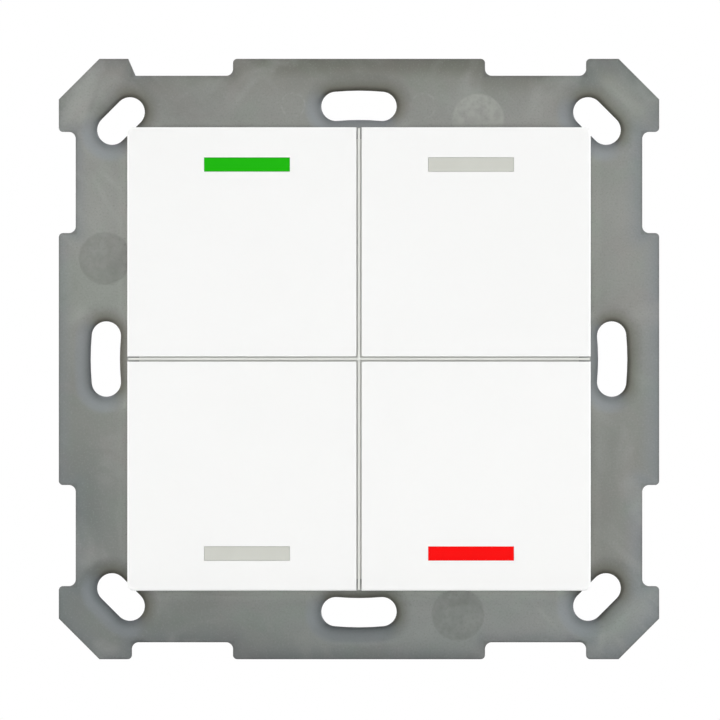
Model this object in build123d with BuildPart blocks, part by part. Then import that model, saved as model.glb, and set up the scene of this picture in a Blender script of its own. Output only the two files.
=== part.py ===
"""Flush-mounted push-button sensor: four hinged buttons with light bars on a square support plate.

The wall plane is y = 0, the front faces -Y and +Z is up on the wall. Heights are counted out of
the wall, towards the viewer, so a level of 11 mm lies at y = -11. All sizes are in millimetres.
"""

import math
import os

from build123d import *

# Support plate
plate_size = 71.0
plate_thickness = 1.5
corner_cut = 4.8
tab_width = 29.8
ear_width = 3.85
notch_depth = 2.0
notch_root_radius = 0.8
notch_lip_radius = 0.5
flank_lean = 0.43
box_screw_spacing = 60.0
box_slot_length = 8.9
box_slot_width = 3.45
corner_slot_inset = 7.01
corner_slot_length = 6.5
corner_slot_width = 3.5
dish_width = 2.0
dish_depth = 0.7
ejector_mark_diameter = 6.2
ejector_mark_depth = 0.08
top_mark_across = 14.1
top_mark_inset = 7.2
left_mark_up = 11.9
left_mark_inset = 5.5
bottom_mark_across = 11.7
bottom_mark_inset = 5.3

# Rear housing, a tray whose well goes through the plate into the wall box
well_size = 46.8
well_corner_cut = 7.0
well_wall = 1.4
well_depth = 2.0
well_floor = 1.2
well_clearance = 0.25
collar_thickness = 1.0
collar_corner_radius = 0.8
rim_wall = 1.2
latch_width = 8.0
latch_slit = 0.8
latch_bite = 0.45
latch_ramp = 2.0
latch_pocket_depth = 0.7
latch_pocket_clearance = 0.4
latch_lip = 0.3
latch_root = 1.2

# Circuit board and what is soldered to it
board_thickness = 1.6
board_clearance = 0.3
board_corner_cut = 2.0
switch_size = 6.2
switch_height = 1.8
switch_floor = 0.5
switch_cover = 0.45
switch_lead_width = 0.9
switch_lead_length = 0.9
switch_lead_thickness = 0.25
stem_size = 3.0
stem_height = 0.8
stem_flange = 0.35
stem_flange_lip = 0.5
stem_clearance = 0.1
stem_inset = 7.0
led_length = 3.5
led_width = 2.8
led_height = 1.1
led_window_length = 2.6
led_window_width = 1.8
led_window_recess = 0.3
led_inset = 1.4

# Button carrier, which clips on the rim of the rear housing
carrier_skirt_height = 2.1
carrier_skirt_wall = 1.0
carrier_fit = 0.1
carrier_plate_thickness = 1.2
carrier_ledge = 0.5
clip_width = 6.0
clip_reach = 13.0
clip_height = 0.8
clip_bite = 0.7
clip_clearance = 0.2
clip_drop = 0.4
rib_width = 1.2
fin_width = 0.3
fin_recess = 0.5
fin_end_recess = 0.1
pusher_hole_clearance = 1.0

# Buttons
front_size = 54.8
front_corner_radius = 0.8
crossing_radius = 0.2
button_gap = 0.6
button_wall = 1.5
skirt_wall = 1.2
outer_edge_radius = 0.3
press_travel = 0.7
stop_gap = 0.1
hinge_offset = 3.2
hinge_height = 1.2
hinge_pin_diameter = 1.6
hinge_clearance = 0.06
bearing_lip = 0.6
bearing_gap = 0.3
bearing_width = 1.5
bearing_wall = 0.85
lug_inset = 4.55
lug_width = 1.2
lug_side_gap = 0.25
lug_half = 1.0
lug_bevel = 0.6
pin_end_gap = 0.1
stiffener_height = 1.2
pusher_width = 2.6
pusher_play = 0.1
pusher_web_length = 6.0
pusher_web_width = 0.8
pusher_web_height = 1.0
hook_width = 8.0
hook_bite = 0.25
hook_play = 0.05
ledge_clearance = 0.2
hook_height = 1.0
hook_lip = 0.4

# Light guides
bar_length = 10.15
bar_width = 1.68
bar_shift = 0.6
bar_inset = 4.4
bar_fit = 0.02
flange_end_gap = 0.3
flange_border = 0.6
flange_thickness = 0.8
blade_length = 9.0
blade_width = 2.0
blade_clearance = 0.6
led_air_gap = 0.9
stake_size = 1.2
stake_inset = 1.1
stake_head = 0.2
stake_fit = 0.03

# Bus socket and programming parts at the rear
socket_width = 11.8
socket_height = 10.3
socket_drop = 11.0
socket_wall = 0.8
socket_board_gap = 0.3
bus_pin_spacing = 5.75
bus_pin_diameter = 1.0
bus_pin_flange_size = 1.8
bus_pin_flange = 0.3
bus_pin_recess = 0.4
bus_pin_tip = 0.2
bus_pin_tail = 0.6
bus_pin_stub = 0.5
bus_pin_fit = 0.05
prog_across = 8.0
prog_up = 12.0
prog_switch_size = 4.5
prog_switch_height = 1.9
prog_switch_cover = 0.4
prog_switch_floor = 0.4
prog_stem_diameter = 2.4
prog_stem_flange = 0.3
prog_stem_lip = 0.4
prog_stem_recess = 0.2
prog_hole_clearance = 0.3
prog_led_diameter = 3.0
prog_led_base_size = 3.8
prog_led_base = 0.6
prog_led_bevel = 0.7
prog_led_recess = 0.3

# Electronic packages on the rear of the board
controller_size = 7.0
controller_height = 1.0
controller_up = 4.0
transceiver_size = 6.0
transceiver_height = 0.9
capacitor_length = 7.3
capacitor_width = 4.3
capacitor_height = 2.8
package_inset = 10.0
package_drop = 8.0
package_edge = 0.2

# Levels above the wall plane, stacked from the plate outwards
collar_seat = plate_thickness
collar_top = collar_seat + collar_thickness
board_rear = collar_top
board_front = board_rear + board_thickness
carrier_seat = board_front + carrier_skirt_height
carrier_top = carrier_seat + carrier_plate_thickness
hinge_level = carrier_top + hinge_height
bearing_top = hinge_level + bearing_lip
button_inside = bearing_top + bearing_gap
front_level = button_inside + button_wall
rib_top = button_inside - press_travel - stop_gap
fin_top = front_level - fin_recess
skirt_foot = collar_top + press_travel + stop_gap
switch_top = board_front + switch_height
stem_top = switch_top + stem_height
stem_seat = switch_top - switch_cover
led_top = board_front + led_height
well_rear = -well_depth
well_inside = well_rear + well_floor
prog_switch_rear = board_rear - prog_switch_height
prog_stem_seat = prog_switch_rear + prog_switch_cover

# Plan sizes that follow from the driving dimensions
front_half = front_size / 2
button_size = (front_size - button_gap) / 2
button_centre = front_half - button_size / 2
skirt_inside = front_half - skirt_wall
ledge_half = skirt_inside - ledge_clearance
rim_half = ledge_half - carrier_ledge
rim_inside = rim_half - rim_wall
board_half = rim_inside - board_clearance
carrier_skirt_half = rim_inside - carrier_fit
well_half = well_size / 2
corner_offset = 2 - math.sqrt(2)
opening_size = well_size + 2 * well_clearance
opening_corner_cut = well_corner_cut + well_clearance * corner_offset
hollow_size = well_size - 2 * well_wall
hollow_corner_cut = well_corner_cut - well_wall * corner_offset
bar_across = button_centre - bar_shift
bar_up = front_half - bar_inset
led_reach = bar_up - led_inset
stem_reach = bar_up - stem_inset
hinge_pin_radius = hinge_pin_diameter / 2
bearing_radius = hinge_pin_radius + hinge_clearance
lug_near = button_gap / 2 + lug_inset
lug_far = front_half - lug_inset
bearing_offset = lug_width / 2 + lug_side_gap
pin_reach = bearing_offset + bearing_width - pin_end_gap
flange_half = bar_across - lug_near - lug_width / 2 - flange_end_gap
flange_low = led_reach - blade_width / 2 - flange_border
flange_high = bar_up + bar_width / 2 + flange_border
flange_up = (flange_low + flange_high) / 2
stake_across = flange_half - stake_inset
stake_hole = stake_size + 2 * stake_fit
pusher_hole = stem_size + 2 * pusher_hole_clearance
stem_hole = stem_size + 2 * stem_clearance
stem_flange_size = stem_size + 2 * stem_flange_lip
cavity_size = stem_flange_size + 2 * stem_clearance
prog_flange_size = prog_stem_diameter + 2 * prog_stem_lip
prog_cavity_size = prog_flange_size + 2 * stem_clearance
pin_across = bus_pin_spacing / 2
package_across = board_half - package_inset

corners = {"top_left": (-1, 1), "top_right": (1, 1), "bottom_left": (-1, -1), "bottom_right": (1, -1)}

os.makedirs("parts", exist_ok=True)


def level(height):
    """The plane parallel to the wall at this height, looking out of the wall."""
    return Plane.XZ.offset(height)


def across(x):
    """The upright plane square to the wall at this x, with local (-height, z)."""
    return Plane.YZ.offset(x)


def spoke(angle):
    """The plane square to the wall through its centre, with local (distance outwards, height)."""
    turn = math.radians(angle)
    outwards = (math.cos(turn), 0, math.sin(turn))
    return Plane(origin=(0, 0, 0), x_dir=outwards, z_dir=(math.sin(turn), 0, -math.cos(turn)))


def gap_distance(edge):
    """How far the middle of an edge lies from the nearer centre line of the front."""
    return min(abs(edge.center().X), abs(edge.center().Z))


def keep(piece, name):
    piece.part.label = name
    export_step(piece.part, f"parts/{name}.step")


# Support plate: notched square with arc slots for the box screws and slots across the corners
with BuildPart() as mounting_plate:
    plate_half = plate_size / 2
    notch_length = plate_half - corner_cut - ear_width - tab_width / 2
    notch_centre = (tab_width + notch_length) / 2
    ear_edge = tab_width / 2 + notch_length
    root = plate_half - notch_depth
    with BuildSketch(level(0)) as outline:
        Rectangle(plate_size, plate_size)
        chamfer(outline.vertices(), corner_cut)
        with PolarLocations(plate_half - notch_depth / 2, 4):
            with Locations((0, notch_centre), (0, -notch_centre)):
                Rectangle(notch_depth, notch_length, mode=Mode.SUBTRACT)
        # the flank beside the top left ear leans and keeps sharp corners
        straight = outline.vertices().filter_by(lambda v: v.X > -ear_edge + 1 or v.Y < root - 1)
        roots = straight.filter_by(lambda v: abs(max(abs(v.X), abs(v.Y)) - root) < 0.01)
        fillet(roots, notch_root_radius)
        straight = outline.vertices().filter_by(lambda v: v.X > -ear_edge + 1 or v.Y < root - 1)
        lips = straight.filter_by(lambda v: abs(max(abs(v.X), abs(v.Y)) - plate_half) < 0.01)
        lips = lips.filter_by(lambda v: min(abs(v.X), abs(v.Y)) < plate_half - corner_cut - 0.01)
        fillet(lips, notch_lip_radius)
        flank_middle = (-ear_edge, plate_half - notch_depth / 2)
        with BuildLine():
            Polyline(flank_middle, (-ear_edge, root), (-ear_edge + flank_lean, root), close=True)
        make_face()
        with BuildLine():
            Polyline(flank_middle, (-ear_edge, plate_half), (-ear_edge - flank_lean, plate_half), close=True)
        make_face(mode=Mode.SUBTRACT)
    extrude(amount=plate_thickness)
    # opening for the well of the rear housing
    with BuildSketch(level(0)) as opening:
        Rectangle(opening_size, opening_size)
        chamfer(opening.vertices(), opening_corner_cut)
    extrude(amount=plate_thickness, mode=Mode.SUBTRACT)
    # screw slots through the plate, with a sloping dish round each for the screw heads
    slot_radius = box_screw_spacing / 2
    half_angle = math.degrees(math.asin((box_slot_length - box_slot_width) / 2 / slot_radius))
    corner_reach = (plate_size - corner_cut) / math.sqrt(2) - corner_slot_inset
    dish_slope = math.degrees(math.atan(dish_width / dish_depth))
    for border, depth, slope in ((0, plate_thickness, 0), (dish_width, dish_depth, dish_slope)):
        with BuildSketch(level(plate_thickness)):
            for turn in range(4):
                with BuildLine(mode=Mode.PRIVATE) as slot_line:
                    CenterArc((0, 0), slot_radius, 90 * turn - half_angle, 2 * half_angle)
                SlotArc(slot_line.edge(), box_slot_width + 2 * border)
            with PolarLocations(corner_reach, 4, start_angle=45):
                SlotOverall(corner_slot_length + 2 * border, corner_slot_width + 2 * border, rotation=90)
        extrude(amount=-depth, taper=slope, mode=Mode.SUBTRACT)
    # shallow witness marks of the ejector pins
    with BuildSketch(level(plate_thickness)):
        top_mark = (top_mark_across, plate_half - top_mark_inset)
        left_mark = (left_mark_inset - plate_half, left_mark_up)
        bottom_mark = (bottom_mark_across, bottom_mark_inset - plate_half)
        with Locations(top_mark, left_mark, bottom_mark):
            Circle(ejector_mark_diameter / 2)
    extrude(amount=-ejector_mark_depth, mode=Mode.SUBTRACT)
    # pockets in the rear face take the latches of the rear housing
    with BuildSketch(level(0)):
        pocket_reach = opening_size / 2 + latch_bite + latch_pocket_clearance
        with PolarLocations(pocket_reach / 2, 4):
            Rectangle(pocket_reach, latch_width + 2 * latch_pocket_clearance)
    extrude(amount=latch_pocket_depth, mode=Mode.SUBTRACT)
keep(mounting_plate, "mounting_plate")


# Rear housing: collar on the plate, rim round the board, well into the wall box
with BuildPart() as rear_housing:
    with BuildSketch(level(collar_seat)):
        RectangleRounded(front_size, front_size, collar_corner_radius)
    extrude(amount=collar_thickness)
    with BuildSketch(level(collar_top)):
        Rectangle(2 * rim_half, 2 * rim_half)
        Rectangle(2 * rim_inside, 2 * rim_inside, mode=Mode.SUBTRACT)
    extrude(amount=carrier_seat - collar_top)
    with BuildSketch(level(well_rear)) as well:
        Rectangle(well_size, well_size)
        chamfer(well.vertices(), well_corner_cut)
    extrude(amount=collar_seat - well_rear)
    with BuildSketch(level(well_inside)) as hollow:
        Rectangle(hollow_size, hollow_size)
        chamfer(hollow.vertices(), hollow_corner_cut)
    extrude(amount=collar_top - well_inside, mode=Mode.SUBTRACT)
    # socket for the plug-on terminal of the bus cable
    with BuildSketch(level(well_rear)):
        with Locations((0, -socket_drop)):
            Rectangle(socket_width + 2 * socket_wall, socket_height + 2 * socket_wall)
    extrude(amount=board_rear - socket_board_gap - well_rear)
    with BuildSketch(level(well_rear)):
        with Locations((0, -socket_drop)):
            Rectangle(socket_width, socket_height)
    extrude(amount=board_rear - well_rear, mode=Mode.SUBTRACT)
    # holes for the programming button and light
    with BuildSketch(level(well_rear)):
        with Locations((-prog_across, prog_up)):
            Circle(prog_stem_diameter / 2 + prog_hole_clearance)
        with Locations((prog_across, prog_up)):
            Circle(prog_led_diameter / 2 + prog_hole_clearance)
    extrude(amount=well_floor, mode=Mode.SUBTRACT)
    # slits leave a springy arm in the middle of each well side
    with BuildSketch(level(well_rear)):
        slit_depth = well_wall + 2 * latch_slit
        with PolarLocations(well_half + latch_slit - slit_depth / 2, 4):
            Rectangle(slit_depth, latch_width + 2 * latch_slit)
        with PolarLocations(well_half - well_wall / 2, 4):
            Rectangle(well_wall, latch_width, mode=Mode.SUBTRACT)
    extrude(amount=latch_root - well_rear, mode=Mode.SUBTRACT)
    # each arm ends in a nose that snaps behind the plate
    nose_tip = well_half + well_clearance + latch_bite
    for angle in (0, 90, 180, 270):
        with BuildSketch(spoke(angle)):
            with BuildLine():
                Polyline(
                    (well_half - well_wall / 2, latch_pocket_depth),
                    (nose_tip, latch_pocket_depth),
                    (nose_tip, latch_pocket_depth - latch_lip),
                    (well_half, latch_pocket_depth - latch_ramp),
                    (well_half - well_wall / 2, latch_pocket_depth - latch_ramp),
                    close=True,
                )
            make_face()
        extrude(amount=latch_width / 2, both=True)
    # windows in the rim take the clips of the carrier
    with BuildSketch(level(carrier_seat - clip_drop - clip_height - clip_clearance)):
        with GridLocations(2 * rim_half - rim_wall, 2 * clip_reach, 2, 2):
            Rectangle(2 * rim_wall, clip_width + 2 * clip_clearance)
    extrude(amount=clip_height + clip_clearance, mode=Mode.SUBTRACT)
keep(rear_housing, "rear_housing")


# Circuit board on the collar
with BuildPart() as circuit_board:
    with BuildSketch(level(board_rear)) as board:
        Rectangle(2 * board_half, 2 * board_half)
        chamfer(board.vertices(), board_corner_cut)
        with Locations((-pin_across, -socket_drop), (pin_across, -socket_drop)):
            Circle(bus_pin_tail / math.sqrt(2) + bus_pin_fit, mode=Mode.SUBTRACT)
    extrude(amount=board_thickness)
keep(circuit_board, "circuit_board")


# Switch under each button: body with its four leads, and the stem that is pressed in
for name, (side, up) in corners.items():
    with BuildPart() as switch_body:
        with BuildSketch(level(board_front)):
            with Locations((side * bar_across, up * stem_reach)):
                Rectangle(switch_size, switch_size)
        extrude(amount=switch_height)
        with BuildSketch(level(board_front)):
            with Locations((side * bar_across, up * stem_reach)):
                with GridLocations(switch_size + switch_lead_length, 0.7 * switch_size, 2, 2):
                    Rectangle(switch_lead_length, switch_lead_width)
        extrude(amount=switch_lead_thickness)
        with BuildSketch(level(board_front + switch_floor)):
            with Locations((side * bar_across, up * stem_reach)):
                Rectangle(cavity_size, cavity_size)
        extrude(amount=stem_seat - board_front - switch_floor, mode=Mode.SUBTRACT)
        with BuildSketch(level(stem_seat)):
            with Locations((side * bar_across, up * stem_reach)):
                Rectangle(stem_hole, stem_hole)
        extrude(amount=switch_cover, mode=Mode.SUBTRACT)
    keep(switch_body, f"switch_body_{name}")

    with BuildPart() as switch_stem:
        with BuildSketch(level(stem_seat - stem_flange)):
            with Locations((side * bar_across, up * stem_reach)):
                Rectangle(stem_flange_size, stem_flange_size)
        extrude(amount=stem_flange)
        with BuildSketch(level(stem_seat)):
            with Locations((side * bar_across, up * stem_reach)):
                Rectangle(stem_size, stem_size)
        extrude(amount=stem_top - stem_seat)
    keep(switch_stem, f"switch_stem_{name}")


# Status light under each light guide
for name, (side, up) in corners.items():
    with BuildPart() as status_led:
        with BuildSketch(level(board_front)):
            with Locations((side * bar_across, up * led_reach)):
                Rectangle(led_length, led_width)
        extrude(amount=led_height)
        with BuildSketch(level(led_top)):
            with Locations((side * bar_across, up * led_reach)):
                Rectangle(led_window_length, led_window_width)
        extrude(amount=-led_window_recess, mode=Mode.SUBTRACT)
    keep(status_led, f"status_led_{name}")


# Button carrier: plate on the rim, skirt that holds the board down, cross ribs and hinge bearings
with BuildPart() as button_carrier:
    with BuildSketch(level(carrier_seat)):
        Rectangle(2 * ledge_half, 2 * ledge_half)
    extrude(amount=carrier_plate_thickness)
    with BuildSketch(level(board_front)):
        skirt_hollow = 2 * (carrier_skirt_half - carrier_skirt_wall)
        Rectangle(2 * carrier_skirt_half, 2 * carrier_skirt_half)
        Rectangle(skirt_hollow, skirt_hollow, mode=Mode.SUBTRACT)
    extrude(amount=carrier_skirt_height)
    # clips that snap into the rim windows
    with BuildSketch(level(carrier_seat - clip_drop - clip_height)):
        with GridLocations(2 * carrier_skirt_half + clip_bite, 2 * clip_reach, 2, 2):
            Rectangle(clip_bite, clip_width)
    extrude(amount=clip_height)
    # openings for the pushers and the light guides
    with BuildSketch(level(carrier_seat)):
        for side, up in corners.values():
            with Locations((side * bar_across, up * stem_reach)):
                Rectangle(pusher_hole, pusher_hole)
            with Locations((side * bar_across, up * led_reach)):
                Rectangle(blade_length + 2 * blade_clearance, blade_width + 2 * blade_clearance)
    extrude(amount=carrier_plate_thickness, mode=Mode.SUBTRACT)
    # cross rib, drawn out to the thin fin that shows in the gap
    with BuildSketch(level(carrier_top)):
        Rectangle(2 * ledge_half, rib_width)
        Rectangle(rib_width, 2 * ledge_half)
    extrude(amount=rib_top - carrier_top)
    with BuildSketch(level(carrier_top)):
        Rectangle(front_size - 2 * fin_end_recess, fin_width)
        Rectangle(fin_width, front_size - 2 * fin_end_recess)
    extrude(amount=fin_top - carrier_top)
    # open bearings, two for each button
    for side, up in corners.values():
        for low in (lug_near - bearing_offset - bearing_width, lug_far + bearing_offset):
            start = min(side * low, side * (low + bearing_width))
            with BuildSketch(across(start)):
                with Locations((-(carrier_top + bearing_top) / 2, up * hinge_offset)):
                    Rectangle(bearing_top - carrier_top, 2 * (bearing_radius + bearing_wall))
                with Locations((-hinge_level, up * hinge_offset)):
                    Circle(bearing_radius, mode=Mode.SUBTRACT)
            extrude(amount=bearing_width)
keep(button_carrier, "button_carrier")


# Buttons: front wall, skirts on the two outer sides, hinge lugs, pusher, hook and stakes
for name, (side, up) in corners.items():
    with BuildPart() as button:
        with BuildSketch(level(skirt_foot)) as face:
            with Locations((side * button_centre, up * button_centre)):
                Rectangle(button_size, button_size)
            fillet(face.vertices().sort_by_distance((0, 0, 0))[-1], front_corner_radius)
            fillet(face.vertices().sort_by_distance((0, 0, 0))[0], crossing_radius)
        extrude(amount=front_level - skirt_foot)
        rim = button.faces().sort_by(Axis.Y)[0].edges()
        fillet(rim.filter_by(lambda e: gap_distance(e) > button_gap), outer_edge_radius)
        with BuildSketch(level(skirt_foot)):
            with Locations((side * skirt_inside / 2, up * skirt_inside / 2)):
                Rectangle(skirt_inside, skirt_inside)
        extrude(amount=button_inside - skirt_foot, mode=Mode.SUBTRACT)
        # two lugs with hinge pins, each drawn out into a stiffener up to the skirt
        stiffener_level = button_inside - stiffener_height / 2
        for lug, outwards in ((lug_near, -1), (lug_far, 1)):
            start = min(side * (lug - lug_width / 2), side * (lug + lug_width / 2))
            with BuildSketch(across(start)):
                with Locations((-stiffener_level, up * (hinge_offset + skirt_inside) / 2)):
                    Rectangle(stiffener_height, skirt_inside - hinge_offset)
                with BuildLine():
                    Polyline(
                        (-button_inside, up * (hinge_offset - lug_half)),
                        (-hinge_level + lug_half - lug_bevel, up * (hinge_offset - lug_half)),
                        (-hinge_level + lug_half, up * (hinge_offset - lug_half + lug_bevel)),
                        (-hinge_level + lug_half, up * (hinge_offset + lug_half - lug_bevel)),
                        (-hinge_level + lug_half - lug_bevel, up * (hinge_offset + lug_half)),
                        (-button_inside, up * (hinge_offset + lug_half)),
                        close=True,
                    )
                make_face()
            extrude(amount=lug_width)
            pin_end = lug + outwards * pin_reach
            with BuildSketch(across(min(side * lug, side * pin_end))):
                with Locations((-hinge_level, up * hinge_offset)):
                    Circle(hinge_pin_radius)
            extrude(amount=pin_reach)
        # pusher of cross section, with a wider cross web at its root
        with BuildSketch(level(button_inside)):
            with Locations((side * bar_across, up * stem_reach)):
                Rectangle(pusher_web_length, pusher_web_width)
                Rectangle(pusher_web_width, pusher_web_length)
        extrude(amount=-pusher_web_height)
        with BuildSketch(level(stem_top + pusher_play)):
            with Locations((side * bar_across, up * stem_reach)):
                Rectangle(pusher_width, pusher_web_width)
                Rectangle(pusher_web_width, pusher_width)
        extrude(amount=button_inside - stem_top - pusher_play)
        # hook that holds the button down on the ledge of the carrier
        hook_top = carrier_seat - hook_play
        with BuildSketch(across(side * button_centre)):
            with BuildLine():
                Polyline(
                    (-hook_top, up * (skirt_inside + skirt_wall / 2)),
                    (-hook_top, up * (ledge_half - hook_bite)),
                    (-hook_top + hook_lip, up * (ledge_half - hook_bite)),
                    (-hook_top + hook_height, up * skirt_inside),
                    (-hook_top + hook_height, up * (skirt_inside + skirt_wall / 2)),
                    close=True,
                )
            make_face()
        extrude(amount=hook_width / 2, both=True)
        # window for the light bar, and two stakes that hold its flange
        with BuildSketch(level(button_inside)):
            with Locations((side * bar_across, up * bar_up)):
                Rectangle(bar_length, bar_width)
        extrude(amount=button_wall, mode=Mode.SUBTRACT)
        with BuildSketch(level(button_inside)):
            with Locations((side * bar_across - stake_across, up * flange_up)):
                Rectangle(stake_size, stake_size)
            with Locations((side * bar_across + stake_across, up * flange_up)):
                Rectangle(stake_size, stake_size)
        extrude(amount=-flange_thickness - stake_head)
    keep(button, f"button_{name}")


# Light guides: bar flush with the button, staked flange and a blade down to the status light
for name, (side, up) in corners.items():
    with BuildPart() as light_guide:
        with BuildSketch(level(button_inside)):
            with Locations((side * bar_across, up * bar_up)):
                Rectangle(bar_length - 2 * bar_fit, bar_width - 2 * bar_fit)
        extrude(amount=button_wall)
        with BuildSketch(level(button_inside)):
            with Locations((side * bar_across, up * flange_up)):
                Rectangle(2 * flange_half, flange_high - flange_low)
            with Locations((side * bar_across - stake_across, up * flange_up)):
                Rectangle(stake_hole, stake_hole, mode=Mode.SUBTRACT)
            with Locations((side * bar_across + stake_across, up * flange_up)):
                Rectangle(stake_hole, stake_hole, mode=Mode.SUBTRACT)
        extrude(amount=-flange_thickness)
        with BuildSketch(level(led_top + led_air_gap)):
            with Locations((side * bar_across, up * led_reach)):
                Rectangle(blade_length, blade_width)
        extrude(amount=button_inside - flange_thickness - led_top - led_air_gap)
    keep(light_guide, f"light_guide_{name}")


# Programming switch, the button it is pressed by and its light, all reached from the rear
with BuildPart() as programming_switch:
    with BuildSketch(level(prog_switch_rear)):
        with Locations((-prog_across, prog_up)):
            Rectangle(prog_switch_size, prog_switch_size)
    extrude(amount=prog_switch_height)
    with BuildSketch(level(prog_switch_rear)):
        with Locations((-prog_across, prog_up)):
            Circle(prog_stem_diameter / 2 + stem_clearance)
    extrude(amount=prog_switch_cover, mode=Mode.SUBTRACT)
    with BuildSketch(level(prog_stem_seat)):
        with Locations((-prog_across, prog_up)):
            Rectangle(prog_cavity_size, prog_cavity_size)
    extrude(amount=prog_switch_height - prog_switch_cover - prog_switch_floor, mode=Mode.SUBTRACT)
keep(programming_switch, "programming_switch")

with BuildPart() as programming_button:
    with BuildSketch(level(prog_stem_seat)):
        with Locations((-prog_across, prog_up)):
            Rectangle(prog_flange_size, prog_flange_size)
    extrude(amount=prog_stem_flange)
    with BuildSketch(level(well_rear + prog_stem_recess)):
        with Locations((-prog_across, prog_up)):
            Circle(prog_stem_diameter / 2)
    extrude(amount=prog_stem_seat - well_rear - prog_stem_recess)
keep(programming_button, "programming_button")

with BuildPart() as programming_led:
    with BuildSketch(level(board_rear - prog_led_base)):
        with Locations((prog_across, prog_up)):
            Rectangle(prog_led_base_size, prog_led_base_size)
    extrude(amount=prog_led_base)
    with BuildSketch(level(well_rear + prog_led_recess)):
        with Locations((prog_across, prog_up)):
            Circle(prog_led_diameter / 2)
    extrude(amount=board_rear - prog_led_base - well_rear - prog_led_recess)
    chamfer(programming_led.faces().sort_by(Axis.Y)[-1].edges(), prog_led_bevel)
keep(programming_led, "programming_led")


# Bus pins, which stand on the board inside the socket
for name, side in (("left", -1), ("right", 1)):
    with BuildPart() as bus_pin:
        with BuildSketch(level(well_rear + bus_pin_recess)):
            with Locations((side * pin_across, -socket_drop)):
                Circle(bus_pin_diameter / 2)
        extrude(amount=board_rear - bus_pin_flange - well_rear - bus_pin_recess)
        chamfer(bus_pin.faces().sort_by(Axis.Y)[-1].edges(), bus_pin_tip)
        with BuildSketch(level(board_rear - bus_pin_flange)):
            with Locations((side * pin_across, -socket_drop)):
                Rectangle(bus_pin_flange_size, bus_pin_flange_size)
        extrude(amount=bus_pin_flange)
        # square solder tail through the board
        with BuildSketch(level(board_rear)):
            with Locations((side * pin_across, -socket_drop)):
                Rectangle(bus_pin_tail, bus_pin_tail)
        extrude(amount=board_thickness + bus_pin_stub)
    keep(bus_pin, f"bus_pin_{name}")


# Electronic packages on the rear of the board
with BuildPart() as microcontroller:
    with BuildSketch(level(board_rear)):
        with Locations((0, controller_up)):
            Rectangle(controller_size, controller_size)
    extrude(amount=-controller_height)
    chamfer(microcontroller.faces().sort_by(Axis.Y)[-1].edges(), package_edge)
keep(microcontroller, "microcontroller")

with BuildPart() as bus_transceiver:
    with BuildSketch(level(board_rear)):
        with Locations((-package_across, -package_drop)):
            Rectangle(transceiver_size, transceiver_size)
    extrude(amount=-transceiver_height)
    chamfer(bus_transceiver.faces().sort_by(Axis.Y)[-1].edges(), package_edge)
keep(bus_transceiver, "bus_transceiver")

with BuildPart() as buffer_capacitor:
    with BuildSketch(level(board_rear)):
        with Locations((package_across, -package_drop)):
            Rectangle(capacitor_length, capacitor_width)
    extrude(amount=-capacitor_height)
    chamfer(buffer_capacitor.faces().sort_by(Axis.Y)[-1].edges(), package_edge)
keep(buffer_capacitor, "buffer_capacitor")
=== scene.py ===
import math

import bpy
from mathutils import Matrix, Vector


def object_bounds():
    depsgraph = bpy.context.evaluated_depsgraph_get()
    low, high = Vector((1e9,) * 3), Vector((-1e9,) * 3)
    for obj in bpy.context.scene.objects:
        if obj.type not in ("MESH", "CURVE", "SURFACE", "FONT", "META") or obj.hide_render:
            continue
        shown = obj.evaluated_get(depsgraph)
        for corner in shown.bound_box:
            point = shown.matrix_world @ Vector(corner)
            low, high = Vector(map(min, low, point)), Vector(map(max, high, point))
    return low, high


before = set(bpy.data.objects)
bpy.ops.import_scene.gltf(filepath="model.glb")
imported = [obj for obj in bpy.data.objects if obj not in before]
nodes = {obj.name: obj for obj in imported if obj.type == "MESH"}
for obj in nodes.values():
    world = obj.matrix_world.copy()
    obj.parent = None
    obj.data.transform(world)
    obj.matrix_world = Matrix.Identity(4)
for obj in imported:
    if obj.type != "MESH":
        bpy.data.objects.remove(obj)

cadBox = [list(corner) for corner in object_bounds()]
corners = ("top_left", "top_right", "bottom_left", "bottom_right")
perMetre = 1000.0               # millimetres in a metre
diagonal = 0.7071               # share of each axis in a step at 45 degrees
print("frame loaded with", len(nodes), "nodes")


# small helpers for node trees

def rgba(colour):
    return (*colour, 1.0)


def dimmed(colour, share):
    return rgba([share * part for part in colour])


def newGroup(name, inputs, outputs):
    group = bpy.data.node_groups.new(name, "ShaderNodeTree")
    for label, kind, value in inputs:
        socket = group.interface.new_socket(name=label, in_out="INPUT", socket_type=kind)
        socket.default_value = value
    for label, kind in outputs:
        group.interface.new_socket(name=label, in_out="OUTPUT", socket_type=kind)
    return group, group.nodes.new("NodeGroupInput"), group.nodes.new("NodeGroupOutput")


def placeGroup(tree, group, values):
    node = tree.nodes.new("ShaderNodeGroup")
    node.node_tree = group
    for label, value in values.items():
        node.inputs[label].default_value = value
    return node


def plug(tree, source, target):
    if isinstance(source, bpy.types.NodeSocket):
        tree.links.new(source, target)
    else:
        target.default_value = source


def calc(tree, operation, first, second=0.0):
    node = tree.nodes.new("ShaderNodeMath")
    node.operation = operation
    plug(tree, first, node.inputs[0])
    plug(tree, second, node.inputs[1])
    return node.outputs[0]


def plus(tree, first, second):
    return calc(tree, "ADD", first, second)


def minus(tree, first, second):
    return calc(tree, "SUBTRACT", first, second)


def times(tree, value, *factors):
    for factor in factors:
        value = calc(tree, "MULTIPLY", value, factor)
    return value


def length(tree, first, second):
    squares = plus(tree, times(tree, first, first), times(tree, second, second))
    return calc(tree, "SQRT", squares)


# 0 at the first limit, 1 at the second, smooth between them
def ramp(tree, value, limits):
    node = tree.nodes.new("ShaderNodeMapRange")
    node.interpolation_type = "SMOOTHSTEP"
    plug(tree, value, node.inputs["Value"])
    node.inputs["From Min"].default_value = limits[0]
    node.inputs["From Max"].default_value = limits[1]
    return node.outputs["Result"]


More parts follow.
